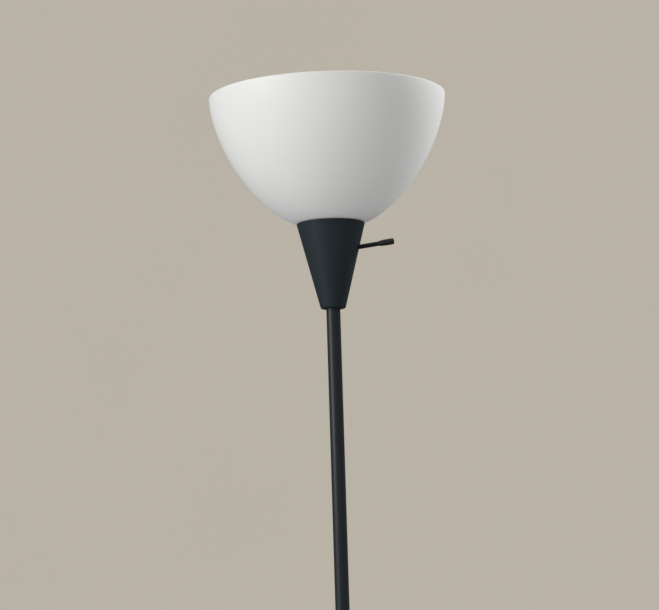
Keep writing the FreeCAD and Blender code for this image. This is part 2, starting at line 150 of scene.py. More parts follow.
def makeWorld():
    world = bpy.data.worlds.new("studio")
    bpy.context.scene.world = world
    world.use_nodes = True
    nodes = world.node_tree.nodes
    links = world.node_tree.links
    background = nodes["Background"]
    background.inputs["Color"].default_value = (*room["ambientColour"], 1)
    direction = nodes.new("ShaderNodeSeparateXYZ")
    links.new(nodes.new("ShaderNodeTexCoord").outputs["Generated"], direction.inputs["Vector"])
    ceiling = nodes.new("ShaderNodeMapRange")
    ceiling.inputs["From Min"].default_value = room["ceilingFrom"]
    ceiling.inputs["From Max"].default_value = room["ceilingFull"]
    ceiling.inputs["To Min"].default_value = room["gloss"]
    ceiling.inputs["To Max"].default_value = room["ceilingGloss"]
    links.new(direction.outputs["Z"], ceiling.inputs["Value"])
    path = nodes.new("ShaderNodeLightPath")
    strength = nodes.new("ShaderNodeMix")
    strength.inputs["A"].default_value = room["ambient"]
    links.new(ceiling.outputs["Result"], strength.inputs["B"])
    links.new(path.outputs["Is Glossy Ray"], strength.inputs["Factor"])
    links.new(strength.outputs["Result"], background.inputs["Strength"])


makeCamera()
makeLights()
makeWorld()
bpy.context.scene.view_settings.view_transform = "Standard"
print("camera and lights set")


# shader node groups that several finishes share

def newGroup(name, inputs, outputs):
    group = bpy.data.node_groups.new(name, "ShaderNodeTree")
    for label, value in inputs.items():
        kind = "NodeSocketColor" if isinstance(value, tuple) else "NodeSocketFloat"
        socket = group.interface.new_socket(label, in_out="INPUT", socket_type=kind)
        socket.default_value = value
    for label, kind in outputs.items():
        group.interface.new_socket(label, in_out="OUTPUT", socket_type="NodeSocket" + kind)
    return group, group.nodes.new("NodeGroupInput").outputs, group.nodes.new("NodeGroupOutput").inputs


def feed(tree, socket, value):
    # a link when the value is another node's output, else the socket's own value
    if isinstance(value, bpy.types.NodeSocket):
        tree.links.new(value, socket)
    else:
        socket.default_value = value


def addNode(tree, kind, inputs=None, **settings):
    node = tree.nodes.new("ShaderNode" + kind)
    for key, value in settings.items():
        setattr(node, key, value)
    for label, value in (inputs or {}).items():
        feed(tree, node.inputs[label], value)
    return node


def maths(tree, operation, first, second=0.0, clamp=False):
    return addNode(tree, "Math", {0: first, 1: second}, operation=operation, use_clamp=clamp).outputs[0]


def spread(tree, value, low, high, toLow, toHigh):
    limits = {"Value": value, "From Min": low, "From Max": high, "To Min": toLow, "To Max": toHigh}
    return addNode(tree, "MapRange", limits).outputs["Result"]


def blendColour(tree, mask, first, second, how="MIX"):
    node = addNode(tree, "Mix", data_type="RGBA", blend_type=how)
    feed(tree, node.inputs[0], mask)
    feed(tree, node.inputs[6], first)
    feed(tree, node.inputs[7], second)
    return node.outputs[2]


def noise(tree, scale, detail=3.0, where=None, stretch=None):
    place = where or addNode(tree, "TexCoord").outputs["Object"]
    if stretch:
        place = addNode(tree, "Mapping", {"Vector": place, "Scale": stretch}).outputs["Vector"]
    return addNode(tree, "TexNoise", {"Vector": place, "Scale": scale, "Detail": detail}).outputs["Fac"]


def colourDriftGroup():
    # slow change of tone over a piece, as one batch of paint or plastic has
    tree, given, out = newGroup("colourDrift", {"Color": (0.5, 0.5, 0.5, 1), "Scale": 8.0, "Amount": 0.1},
                                {"Color": "Color"})
    wave = spread(tree, noise(tree, given["Scale"], 4.0), 0.3, 0.7, -1.0, 1.0)
    gain = maths(tree, "ADD", maths(tree, "MULTIPLY", wave, given["Amount"]), 1.0)
    grey = addNode(tree, "CombineColor", {"Red": gain, "Green": gain, "Blue": gain}).outputs["Color"]
    feed(tree, out["Color"], blendColour(tree, 1.0, given["Color"], grey, "MULTIPLY"))


def orangePeelGroup():
    # the skin of powder-baked paint and of satin plastic: soft dimples with a fine tooth on top
    tree, given, out = newGroup("orangePeel", {"Scale": 400.0, "Tooth": 0.3}, {"Height": "Float"})
    dimples = noise(tree, given["Scale"], 1.0)
    tooth = noise(tree, maths(tree, "MULTIPLY", given["Scale"], 4.0), 2.0)
    feed(tree, out["Height"], maths(tree, "ADD", dimples, maths(tree, "MULTIPLY", tooth, given["Tooth"])))


def dustGroup():
    # pale dust where a surface faces up: an uneven film, its grains and a few larger specks
    tree, given, out = newGroup("settledDust", {"Color": (0, 0, 0, 1), "Dust": (0.45, 0.43, 0.39, 1),
                                                "Amount": 0.1, "Scale": 12.0},
                                {"Color": "Color", "Mask": "Float"})
    normal = addNode(tree, "NewGeometry").outputs["Normal"]
    upward = addNode(tree, "SeparateXYZ", {"Vector": normal}).outputs["Z"]
    facing = spread(tree, upward, 0.35, 1.0, 0.0, 1.0)
    film = spread(tree, noise(tree, given["Scale"], 3.0), 0.3, 0.7, 0.55, 1.0)
    grains = spread(tree, noise(tree, 1400.0, 2.0), 0.35, 0.65, 0.5, 1.0)
    specks = spread(tree, noise(tree, 420.0, 1.0), 0.71, 0.76, 0.0, 1.6)
    cover = maths(tree, "MAXIMUM", maths(tree, "MULTIPLY", film, grains), specks)
    mask = maths(tree, "MULTIPLY", maths(tree, "MULTIPLY", facing, cover), given["Amount"], clamp=True)
    feed(tree, out["Color"], blendColour(tree, mask, given["Color"], given["Dust"]))
    feed(tree, out["Mask"], mask)


def handlingGroup():
    # faint smears left by hands and cloths, seen only as a change of gloss
    tree, given, out = newGroup("handling", {"Roughness": 0.4, "Spread": 0.08, "Scale": 14.0},
                                {"Roughness": "Float"})
    smears = noise(tree, given["Scale"], 5.0, stretch=(1.0, 1.0, 0.35))
    swing = spread(tree, smears, 0.3, 0.7, -1.0, 1.0)
    feed(tree, out["Roughness"], maths(tree, "ADD", given["Roughness"],
                                       maths(tree, "MULTIPLY", swing, given["Spread"]), clamp=True))


def edgeWearGroup():
    # where a corner is rubbed: the normal rounded over Reach differs from the surface's own
    tree, given, out = newGroup("edgeWear", {"Reach": 0.0015, "Amount": 0.5}, {"Mask": "Float"})
    own = addNode(tree, "NewGeometry").outputs["Normal"]
    soft = addNode(tree, "Bevel", {"Radius": given["Reach"]}, samples=4).outputs["Normal"]
    match = addNode(tree, "VectorMath", {0: own, 1: soft}, operation="DOT_PRODUCT").outputs["Value"]
    corner = spread(tree, match, 0.985, 0.86, 0.0, 1.0)
    broken = spread(tree, noise(tree, 240.0, 5.0), 0.42, 0.62, 0.0, 1.0)
    worn = maths(tree, "MULTIPLY", corner, broken)
    feed(tree, out["Mask"], maths(tree, "MULTIPLY", worn, given["Amount"], clamp=True))


def drawnMetalGroup():
    # long fine lines left by drawing, turning or rolling, running along Z or round it
    tree, given, out = newGroup("drawnMetal", {"Scale": 900.0, "Across": 0.04}, {"Height": "Float"})
    place = addNode(tree, "TexCoord").outputs["Object"]
    parts = addNode(tree, "SeparateXYZ", {"Vector": place}).outputs
    squeezed = addNode(tree, "CombineXYZ", {"X": maths(tree, "MULTIPLY", parts["X"], given["Across"]),
                                            "Y": maths(tree, "MULTIPLY", parts["Y"], given["Across"]),
                                            "Z": parts["Z"]}).outputs["Vector"]
    feed(tree, out["Height"], noise(tree, given["Scale"], 2.0, squeezed))


for buildGroup in (colourDriftGroup, orangePeelGroup, dustGroup,
                   handlingGroup, edgeWearGroup, drawnMetalGroup):
    buildGroup()
print("shader groups made:", len(bpy.data.node_groups))


# finishes: one function each, with what a user would change in the dictionary above it

def useGroup(tree, name, values):
    node = tree.nodes.new("ShaderNodeGroup")
    node.node_tree = bpy.data.node_groups[name]
    for label, value in values.items():
        feed(tree, node.inputs[label], value)
    return node.outputs


def newFinish(name, constants):
    # a material with one Principled shader, whose plain values are set on its own sockets
    material = bpy.data.materials.new(name)
    material.use_nodes = True
    tree = material.node_tree
    shader = tree.nodes["Principled BSDF"]
    for label, value in constants.items():
        shader.inputs[label].default_value = value
    return material, tree, shader


def bump(tree, shader, height, strength, depth):
    node = addNode(tree, "Bump", {"Strength": strength, "Distance": depth, "Height": height})
    feed(tree, shader.inputs["Normal"], node.outputs["Normal"])


def opaque(colour):
    return (*colour, 1.0)


whiteShade = {
    "colour": (0.80, 0.815, 0.82),
    "drift": 0.018,
    "driftScale": 7.0,
    "roughness": 0.45,
    "smears": 0.05,
    "smearScale": 9.0,
    "glow": 0.25,  # how much light passes through the plastic
    "reach": (0.006, 0.0052, 0.0046),
    "index": 1.49,
    "grain": 700.0,
    "tooth": 0.25,
    "texture": 0.10,
    "depth": 0.0003,
    "dust": 0.07,
    "dustColour": (0.52, 0.49, 0.43),
}


def whiteShadeFinish(look=whiteShade):
    # opal moulded plastic, satin outside, a little dust lying in the bowl
    material, tree, shader = newFinish("whiteShade", {
        "Subsurface Weight": look["glow"], "Subsurface Radius": look["reach"],
        "Subsurface Scale": 1.0, "IOR": look["index"]})
    tone = useGroup(tree, "colourDrift", {
        "Color": opaque(look["colour"]), "Scale": look["driftScale"], "Amount": look["drift"]})
    dusty = useGroup(tree, "settledDust", {
        "Color": tone["Color"], "Dust": opaque(look["dustColour"]), "Amount": look["dust"]})
    gloss = useGroup(tree, "handling", {
        "Roughness": look["roughness"], "Spread": look["smears"], "Scale": look["smearScale"]})
    peel = useGroup(tree, "orangePeel", {"Scale": look["grain"], "Tooth": look["tooth"]})
    feed(tree, shader.inputs["Base Color"], dusty["Color"])
    feed(tree, shader.inputs["Roughness"], gloss["Roughness"])
    bump(tree, shader, peel["Height"], look["texture"], look["depth"])
    return material


paint = {
    "index": 1.5,
    "drift": 0.08,
    "driftScale": 11.0,
    "wearReach": 0.0012,
    "wear": 0.55,
    "smears": 0.07,
    "smearScale": 13.0,
    "dustDulls": 1.2,
    "tooth": 0.35,
    "texture": 0.22,
    "depth": 0.0004,
}

blackSatin = {
    "colour": (0.0165, 0.0225, 0.0270),
    "bare": (0.075, 0.078, 0.08),  # primer and steel where a corner is rubbed
    "roughness": 0.38,
    "shine": 0.5,
    "dimples": 520.0,
    "dust": 0.055,
}

blackCone = {
    "colour": (0.0150, 0.0250, 0.0325),
    "bare": (0.06, 0.065, 0.07),
    "roughness": 0.60,
    "shine": 0.36,
    "dimples": 620.0,
    "dust": 0.05,
}


def paintedFinish(name, look):
    # baked powder paint on steel: dimpled, rubbed pale at sharp corners, dusty on top
    material, tree, shader = newFinish(name, {"IOR": paint["index"], "Specular IOR Level": look["shine"]})
    tone = useGroup(tree, "colourDrift", {
        "Color": opaque(look["colour"]), "Scale": paint["driftScale"], "Amount": paint["drift"]})
    wear = useGroup(tree, "edgeWear", {"Reach": paint["wearReach"], "Amount": paint["wear"]})
    rubbed = blendColour(tree, wear["Mask"], tone["Color"], opaque(look["bare"]))
    dusty = useGroup(tree, "settledDust", {"Color": rubbed, "Amount": look["dust"]})
    gloss = useGroup(tree, "handling", {
        "Roughness": look["roughness"], "Spread": paint["smears"], "Scale": paint["smearScale"]})
    dulled = maths(tree, "MULTIPLY", dusty["Mask"], paint["dustDulls"])
    matt = maths(tree, "ADD", gloss["Roughness"], dulled, clamp=True)
    peel = useGroup(tree, "orangePeel", {"Scale": look["dimples"], "Tooth": paint["tooth"]})
    feed(tree, shader.inputs["Base Color"], dusty["Color"])
    feed(tree, shader.inputs["Roughness"], matt)
    bump(tree, shader, peel["Height"], paint["texture"], paint["depth"])
    return material


moulding = {
    "index": 1.5,
    "drift": 0.07,
    "dust": 0.05,
    "patchScale": 30.0,
    "smears": 0.06,
    "smearScale": 45.0,
    "tooth": 0.8,
    "depth": 0.0003,
}

blackStem = {"colour": (0.0085, 0.0065, 0.0062), "roughness": 0.38, "spark": 900.0, "texture": 0.10}
blackGrip = {"colour": (0.0125, 0.0100, 0.0110), "roughness": 0.46, "spark": 1300.0, "texture": 0.30}
blackPlastic = {"colour": (0.012, 0.012, 0.0125), "roughness": 0.50, "spark": 1100.0, "texture": 0.35}
naturalPlastic = {"colour": (0.62, 0.60, 0.53), "roughness": 0.45, "spark": 900.0, "texture": 0.20}
housingPlastic = {"colour": (0.78, 0.78, 0.765), "roughness": 0.38, "spark": 1000.0, "texture": 0.15}
blackGlass = {"colour": (0.006, 0.006, 0.007), "roughness": 0.12, "spark": 300.0, "texture": 0.08}


def mouldedFinish(name, look):
    # injection-moulded plastic with the fine eroded texture of its mould
    material, tree, shader = newFinish(name, {"IOR": moulding["index"]})
    tone = useGroup(tree, "colourDrift", {
        "Color": opaque(look["colour"]), "Scale": moulding["patchScale"], "Amount": moulding["drift"]})
    dusty = useGroup(tree, "settledDust", {
        "Color": tone["Color"], "Amount": moulding["dust"], "Scale": moulding["patchScale"]})
    gloss = useGroup(tree, "handling", {
        "Roughness": look["roughness"], "Spread": moulding["smears"], "Scale": moulding["smearScale"]})
    peel = useGroup(tree, "orangePeel", {"Scale": look["spark"], "Tooth": moulding["tooth"]})
    feed(tree, shader.inputs["Base Color"], dusty["Color"])
    feed(tree, shader.inputs["Roughness"], gloss["Roughness"])
    bump(tree, shader, peel["Height"], look["texture"], moulding["depth"])
    return material


rubber = {
    "index": 1.5,
    "sheen": 0.15,
    "sheenRoughness": 0.5,
    "drift": 0.15,
    "edgeReach": 0.001,
    "edges": 0.5,
    "smears": 0.06,
    "patchScale": 60.0,
    "skin": 1500.0,
    "texture": 0.35,
    "depth": 0.0002,
}

blackRubber = {"colour": (0.020, 0.020, 0.021), "roughness": 0.72, "bloom": (0.075, 0.072, 0.068)}
leadSheath = {"colour": (0.022, 0.022, 0.023), "roughness": 0.55, "bloom": (0.05, 0.05, 0.05)}


def rubberFinish(name, look):
    # matt rubber with a pale bloom on its edges
    material, tree, shader = newFinish(name, {
        "IOR": rubber["index"], "Sheen Weight": rubber["sheen"],
        "Sheen Roughness": rubber["sheenRoughness"]})
    tone = useGroup(tree, "colourDrift", {
        "Color": opaque(look["colour"]), "Scale": rubber["patchScale"], "Amount": rubber["drift"]})
    edge = useGroup(tree, "edgeWear", {"Reach": rubber["edgeReach"], "Amount": rubber["edges"]})
    bloomed = blendColour(tree, edge["Mask"], tone["Color"], opaque(look["bloom"]))
    gloss = useGroup(tree, "handling", {
        "Roughness": look["roughness"], "Spread": rubber["smears"], "Scale": rubber["patchScale"]})
    peel = useGroup(tree, "orangePeel", {"Scale": rubber["skin"], "Tooth": 1.0})
    feed(tree, shader.inputs["Base Color"], bloomed)
    feed(tree, shader.inputs["Roughness"], gloss["Roughness"])
    bump(tree, shader, peel["Height"], rubber["texture"], rubber["depth"])
    return material


foamPad = {
    "colour": (0.036, 0.036, 0.039),
    # how dark the painted shade in the bubbles' pits is, as a share of the foam's colour
    "pitShade": 0.45,
    "drift": 0.2,
    "driftScale": 25.0,
    "roughness": 0.9,
    "sheen": 0.2,
    "sheenRoughness": 0.6,
    "cells": 1400.0,
    "texture": 0.6,
    "depth": 0.0005,
}


def foamFinish(look=foamPad):
    # closed-cell foam: a net of small open bubbles cut through by the skiving knife, with painted shade darkening
    # the bubbles' pits
    material, tree, shader = newFinish("foamPad", {
        "Roughness": look["roughness"], "Sheen Weight": look["sheen"],
        "Sheen Roughness": look["sheenRoughness"]})
    place = addNode(tree, "TexCoord").outputs["Object"]
    cells = addNode(tree, "TexVoronoi", {"Vector": place, "Scale": look["cells"]}).outputs["Distance"]
    pits = spread(tree, cells, 0.1, 0.6, 0.0, 1.0)
    tone = useGroup(tree, "colourDrift", {
        "Color": opaque(look["colour"]), "Scale": look["driftScale"], "Amount": look["drift"]})
    # painted shade: the pits take a darker copy of the foam's colour
    paintedPitShade = opaque(tuple(look["pitShade"] * part for part in look["colour"]))
    feed(tree, shader.inputs["Base Color"], blendColour(tree, pits, paintedPitShade, tone["Color"]))
    bump(tree, shader, pits, look["texture"], look["depth"])
    return material


plating = {
    "patchScale": 120.0,
    "patches": 0.8,
    "patchDulls": 0.12,
    "drift": 0.08,
    "driftScale": 400.0,
    "smears": 0.05,
    "smearScale": 80.0,
    "lines": 1600.0,
    "across": 0.03,
    "texture": 0.15,
    "depth": 0.0001,
}

zincSteel = {"colour": (0.50, 0.505, 0.50), "cast": (0.56, 0.54, 0.42), "roughness": 0.34}
brassParts = {"colour": (0.70, 0.53, 0.24), "cast": (0.48, 0.33, 0.17), "roughness": 0.30}
nickelCap = {"colour": (0.62, 0.61, 0.58), "cast": (0.55, 0.52, 0.47), "roughness": 0.22}
bareSheet = {"colour": (0.085, 0.087, 0.090), "cast": (0.12, 0.11, 0.095), "roughness": 0.50}


def platedFinish(name, look):
    # plated or plain metal: drawn lines, a second tint drifting over it, duller where it is tinted
    material, tree, shader = newFinish(name, {"Metallic": 1.0})
    patch = spread(tree, noise(tree, plating["patchScale"], 5.0), 0.38, 0.68, 0.0, plating["patches"])
    tinted = blendColour(tree, patch, opaque(look["colour"]), opaque(look["cast"]))
    tone = useGroup(tree, "colourDrift", {
        "Color": tinted, "Scale": plating["driftScale"], "Amount": plating["drift"]})
    dull = maths(tree, "ADD", look["roughness"], maths(tree, "MULTIPLY", patch, plating["patchDulls"]))
    gloss = useGroup(tree, "handling", {
        "Roughness": dull, "Spread": plating["smears"], "Scale": plating["smearScale"]})
    lines = useGroup(tree, "drawnMetal", {"Scale": plating["lines"], "Across": plating["across"]})
    feed(tree, shader.inputs["Base Color"], tone["Color"])
    feed(tree, shader.inputs["Roughness"], gloss["Roughness"])
    bump(tree, shader, lines["Height"], plating["texture"], plating["depth"])
    return material


castWeight = {
    "colour": (0.055, 0.054, 0.053),
    "rust": (0.105, 0.048, 0.022),
    "rustScale": 45.0,
    "rusted": 0.7,
    "drift": 0.25,
    "driftScale": 35.0,
    "roughness": 0.78,
    "grit": 300.0,
    "rustRise": 0.4,
    "texture": 0.7,
    "depth": 0.0012,
}


def castFinish(look=castWeight):
    # sand-cast iron, dipped in thin black paint that lets some rust through
    material, tree, shader = newFinish("castWeight", {"Roughness": look["roughness"]})
    tone = useGroup(tree, "colourDrift", {
        "Color": opaque(look["colour"]), "Scale": look["driftScale"], "Amount": look["drift"]})
    rusty = spread(tree, noise(tree, look["rustScale"], 8.0), 0.52, 0.66, 0.0, look["rusted"])
    feed(tree, shader.inputs["Base Color"], blendColour(tree, rusty, tone["Color"], opaque(look["rust"])))
    risen = maths(tree, "MULTIPLY", rusty, look["rustRise"])
    grit = maths(tree, "ADD", noise(tree, look["grit"], 6.0), risen)
    bump(tree, shader, grit, look["texture"], look["depth"])
    return material


bulbDiffuser = {
    "colour": (0.83, 0.83, 0.81),
    "drift": 0.02,
    "driftScale": 30.0,
    "roughness": 0.34,
    "smears": 0.04,
    "smearScale": 35.0,
    "glow": 0.3,
    "reach": (0.004, 0.0036, 0.003),
    "index": 1.58,
    "frost": 2200.0,
    "tooth": 0.5,
    "texture": 0.12,
    "depth": 0.0001,
    "dust": 0.08,
    "dustScale": 40.0,
    "dustColour": (0.55, 0.52, 0.46),
}


def diffuserFinish(look=bulbDiffuser):
    # frosted cover of the bulb, satin, dusty on its crown
    material, tree, shader = newFinish("bulbDiffuser", {
        "Subsurface Weight": look["glow"], "Subsurface Radius": look["reach"],
        "Subsurface Scale": 1.0, "IOR": look["index"]})
    tone = useGroup(tree, "colourDrift", {
        "Color": opaque(look["colour"]), "Scale": look["driftScale"], "Amount": look["drift"]})
    dusty = useGroup(tree, "settledDust", {
        "Color": tone["Color"], "Dust": opaque(look["dustColour"]),
        "Amount": look["dust"], "Scale": look["dustScale"]})
    gloss = useGroup(tree, "handling", {
        "Roughness": look["roughness"], "Spread": look["smears"], "Scale": look["smearScale"]})
    frost = useGroup(tree, "orangePeel", {"Scale": look["frost"], "Tooth": look["tooth"]})
    feed(tree, shader.inputs["Base Color"], dusty["Color"])
    feed(tree, shader.inputs["Roughness"], gloss["Roughness"])
    bump(tree, shader, frost["Height"], look["texture"], look["depth"])
    return material


finishes = {
    "white_shade": whiteShadeFinish(),
    "black_satin": paintedFinish("blackSatin", blackSatin),
    "black_cone": paintedFinish("blackCone", blackCone),
    "black_stem": mouldedFinish("blackStem", blackStem),
    "black_grip": mouldedFinish("blackGrip", blackGrip),
    "black_plastic": mouldedFinish("blackPlastic", blackPlastic),
    "natural_plastic": mouldedFinish("naturalPlastic", naturalPlastic),
    "bulb_housing": mouldedFinish("housingPlastic", housingPlastic),
    "black_glass": mouldedFinish("blackGlass", blackGlass),
    "black_rubber": rubberFinish("blackRubber", blackRubber),
    "lead_sheath": rubberFinish("leadSheath", leadSheath),
    "foam_pad": foamFinish(),
    "zinc_steel": platedFinish("zincSteel", zincSteel),
    "brass_parts": platedFinish("brassParts", brassParts),
    "nickel_cap": platedFinish("nickelCap", nickelCap),
    "base_sheet": platedFinish("bareSheet", bareSheet),
    "cast_weight": castFinish(),
    "bulb_diffuser": diffuserFinish(),
}
print("finishes made:", len(finishes))


# shaping helpers: outlines are closed loops of (radius, height), and a third number rounds that corner

pastArc = 1.6  # where a ring just past each end of an arc keeps a long wall shaded straight


def softened(corners, steps=5):
    points = []
    for i, corner in enumerate(corners):
        here = Vector(corner[:2])
        if len(corner) == 2:
            points.append(here)
            continue
        before = Vector(corners[i - 1][:2]) - here
        after = Vector(corners[(i + 1) % len(corners)][:2]) - here
        half = 0.5 * before.angle(after)
        reach = corner[2] / math.tan(half)
        centre = here + (before.normalized() + after.normalized()).normalized() * corner[2] / math.sin(half)
        start = here + before.normalized() * reach - centre
        end = here + after.normalized() * reach - centre
        hold = pastArc * reach
        if before.length > 4 * hold:
            points.append(here + before.normalized() * hold)
        points += sweep(centre, start, end, steps)
        if after.length > 4 * hold:
            points.append(here + after.normalized() * hold)
    return points


def sweep(centre, start, end, steps):
    # points on the arc about a centre from one spoke to another
    turn = start.angle(end)
    points = []
    for k in range(steps + 1):
        share = turn * k / steps
        points.append(centre + (start * math.sin(turn - share) + end * math.sin(share)) / math.sin(turn))
    return points


def lathe(name, outline, turns=96, foot=Vector(), axis=upright, swell=None, closed=True):
    # swell(radius, height, angle) gives a radius of its own to ribs and threads
    shape = bmesh.new()
    rings = []
    for radius, height in outline:
        if radius < 1e-6:  # on the axis, so the ring is one point
            rings.append([shape.verts.new((0, 0, height))] * turns)
            continue
        ring = []
        for k in range(turns):
            angle = 2 * math.pi * k / turns
            reach = swell(radius, height, angle) if swell else radius
            ring.append(shape.verts.new((reach * math.cos(angle), reach * math.sin(angle), height)))
        rings.append(ring)
    following = rings[1:] + rings[:1] if closed else rings[1:]
    for lower, upper in zip(rings, following):
        for k in range(turns):
            corners = [lower[k], lower[(k + 1) % turns], upper[(k + 1) % turns], upper[k]]
            face = list(dict.fromkeys(corners))
            if len(face) > 2:
                shape.faces.new(face)
    bmesh.ops.recalc_face_normals(shape, faces=shape.faces)
    mesh = bpy.data.meshes.new(name)
    shape.to_mesh(mesh)
    shape.free()
    mesh.transform(Matrix.Translation(foot) @ upright.rotation_difference(axis).to_matrix().to_4x4())
    return addToScene(name, mesh)


def cutAway(piece, tool):
    cut = piece.modifiers.new("cut", "BOOLEAN")
    cut.object = tool
    cut.solver = "EXACT"
    shaped = piece.evaluated_get(bpy.context.evaluated_depsgraph_get())
    mesh = bpy.data.meshes.new_from_object(shaped)
    piece.modifiers.clear()
    piece.data = mesh
    bpy.data.objects.remove(tool)


def finishPiece(piece, node, slot, body="lamp", sharp=32):
    # smooth shading with crisp corners, then its finish, its body and the CAD node it stands for
    piece.data.shade_smooth()
    piece.data.set_sharp_from_angle(angle=math.radians(sharp))
    piece.data.materials.clear()
    piece.data.materials.append(finishes[slot])
    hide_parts(node)
    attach(piece, body)


def top(node):
    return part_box(node)[1].z


def bottom(node):
    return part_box(node)[0].z


def radiusOf(node):
    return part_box(node)[1].x


# the bowl: a powered quarter ellipse from rim to seat, the same wall all over

bowl = {
    "wall": 0.002,
    "seatRadius": 0.026,
    "holeRadius": 0.0206,
    "holeEdge": 0.0004,
    "heightPower": 1.604,
    "radiusPower": 1.616,
    "steps": 72,
    "lipSteps": 5,
    "nudge": 0.0001,  # the turn over which the skin's slope is measured
    "turns": 256,
}


def makeBowl():
    seat = bottom("shade")
    rim = top("shade") - 0.5 * bowl["wall"]
    span = radiusOf("shade") - bowl["seatRadius"]
    quarter = 0.5 * math.pi

    def skin(turn):
        drop = math.sin(turn) ** (2 / bowl["heightPower"])
        out = abs(math.cos(turn)) ** (2 / bowl["radiusPower"])
        return Vector((bowl["seatRadius"] + span * out, rim - (rim - seat) * drop))

    def inner(turn):
        along = (skin(turn + bowl["nudge"]) - skin(turn - bowl["nudge"])).normalized()
        return skin(turn) + Vector((along.y, -along.x)) * bowl["wall"]

    share = [quarter * k / bowl["steps"] for k in range(1, bowl["steps"])]
    outside = [skin(0)] + [skin(turn) for turn in share]
    inside = [inner(turn) for turn in reversed(share)]
    middle = Vector((radiusOf("shade") - 0.5 * bowl["wall"], rim))
    spoke = Vector((-0.5 * bowl["wall"], 0))
    crown = Vector((0, 0.5 * bowl["wall"]))
    steps = bowl["lipSteps"]
    lip = sweep(middle, spoke, crown, steps)[:-1] + sweep(middle, crown, -spoke, steps)[:-1]
    flat = bowl["seatRadius"]
    hole = bowl["holeRadius"]
    edge = bowl["holeEdge"]
    thick = seat + bowl["wall"]
    seatRim = [Vector((flat, seat)), Vector((hole + edge, seat)), Vector((hole, seat + edge)),
               Vector((hole, thick - edge)), Vector((hole + edge, thick)), Vector((flat, thick))]
    piece = lathe("bowlShade", outside + seatRim + inside + lip, bowl["turns"])
    finishPiece(piece, "shade", "white_shade")


makeBowl()
print("bowl made")


# the cone under the bowl, with the hole that the handle comes out of

switchJoint = next(joint for joint in frame["joints"] if joint["name"] == "switch_turn")
switchFoot = Vector(switchJoint["pos_m"])
switchAxis = Vector(switchJoint["axis"]).normalized()

cone = {
    "footRadius": 0.0141,
    "wall": 0.0016,
    "footRounding": 0.0018,
    "rimRounding": 0.00045,
    "boreRounding": 0.0003,
    "webRounding": 0.002,
    "webTop": 0.018,
    "neckDepth": 0.015,
    "poleBore": 0.00805,
    "studBore": 0.0053,
    "switchHole": 0.00385,
    "drill": (0.02, 0.045),  # how far along the handle's axis the hole is cut
    "holeTurns": 48,
    "cornerSteps": 8,
    "turns": 192,
}


def makeCone():
    low, high, rim = coneLow.z, coneHigh.z, coneHigh.x
    lean = math.atan((rim - cone["footRadius"]) / (high - low))
    thick = cone["wall"] / math.cos(lean)
    webRadius = cone["footRadius"] + cone["webTop"] * math.tan(lean) - thick
    outline = softened([
        (cone["poleBore"], low, cone["boreRounding"]), (cone["footRadius"], low, cone["footRounding"]),
        (rim, high, cone["rimRounding"]), (rim - thick, high, cone["rimRounding"]),
        (webRadius, low + cone["webTop"], cone["webRounding"]), (cone["studBore"], low + cone["webTop"]),
        (cone["studBore"], low + cone["neckDepth"]),
        (cone["poleBore"], low + cone["neckDepth"])], cone["cornerSteps"])
    piece = lathe("socketCone", outline, cone["turns"])
    start, end = cone["drill"]
    hole = [(0, start), (cone["switchHole"], start), (cone["switchHole"], end), (0, end)]
    cutAway(piece, lathe("switchHole", hole, cone["holeTurns"], switchFoot, switchAxis))
    finishPiece(piece, "socket_cone", "black_cone")


makeCone()
print("cone made")


# the switch handle: a thin stem and a thicker, blunt end, each with the two seams of its mould

handle = {
    "stemRadius": 0.0026,
    "stemStart": -0.0173,
    "stemEnd": 0.066,
    "stemRounding": 0.0004,
    "gripStart": 0.0555,
    "gripLip": 0.0002,  # how far its thin end stands out round the stem
    "gripShoulder": 0.0022,
    "gripSwell": 0.0004,  # how much it still grows past its shoulder
    "gripTaper": 0.007,
    "gripRadius": 0.0036,
    "shoulderRounding": 0.002,
    "taperRounding": 0.01,
    "gripTip": 0.0733,
    "tipRounding": 0.0016,
    "seam": 0.00005,
    "seamWidth": 0.09,
    "cornerSteps": 7,
    "turns": 64,
}


def withSeams(radius, height, angle):
    return radius - handle["seam"] * (1 - math.exp(-(math.sin(angle) / handle["seamWidth"]) ** 2))


def makeHandle():
    stem = handle["stemRadius"]
    start = handle["stemStart"]
    end = handle["stemEnd"]
    rounding = handle["stemRounding"]
    outline = softened([(0, start), (stem, start, rounding), (stem, end, rounding), (0, end)])
    piece = lathe("switchStem", outline, handle["turns"], switchFoot, switchAxis, withSeams)
    finishPiece(piece, "switch_spindle", "black_stem", "switch")
    grip = handle["gripRadius"]
    start = handle["gripStart"]
    tip = handle["gripTip"]
    outline = softened([
        (stem, start), (stem + handle["gripLip"], start),
        (grip - handle["gripSwell"], start + handle["gripShoulder"], handle["shoulderRounding"]),
        (grip, start + handle["gripTaper"], handle["taperRounding"]), (grip, tip, handle["tipRounding"]),
        (0, tip), (0, end), (stem, end)], handle["cornerSteps"])
    piece = lathe("switchGrip", outline, handle["turns"], switchFoot, switchAxis, withSeams)
    finishPiece(piece, "switch_grip", "black_grip", "switch")


makeHandle()
print("handle made")


# the pole: equal tubes, each with its ends just broken so that the joints show

tube = {
    "wall": 0.001,
    "endRounding": 0.00035,
    "boreRounding": 0.0002,
    "turns": 96,
}


def makePole():
    for number in range(1, 6):
        node = "pole_section_" + str(number)
        low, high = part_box(node)
        outer = high.x
        inner = outer - tube["wall"]
        edge = tube["endRounding"]
        bore = tube["boreRounding"]
        outline = softened([(inner, low.z, bore), (outer, low.z, edge), (outer, high.z, edge),
                            (inner, high.z, bore)])
        piece = lathe("poleTube" + str(number), outline, tube["turns"])
        finishPiece(piece, node, "black_satin")


makePole()
print("pole made")


# the base: a domed steel cover with a turned-down wall, its foam ring, the washer and the cord gland

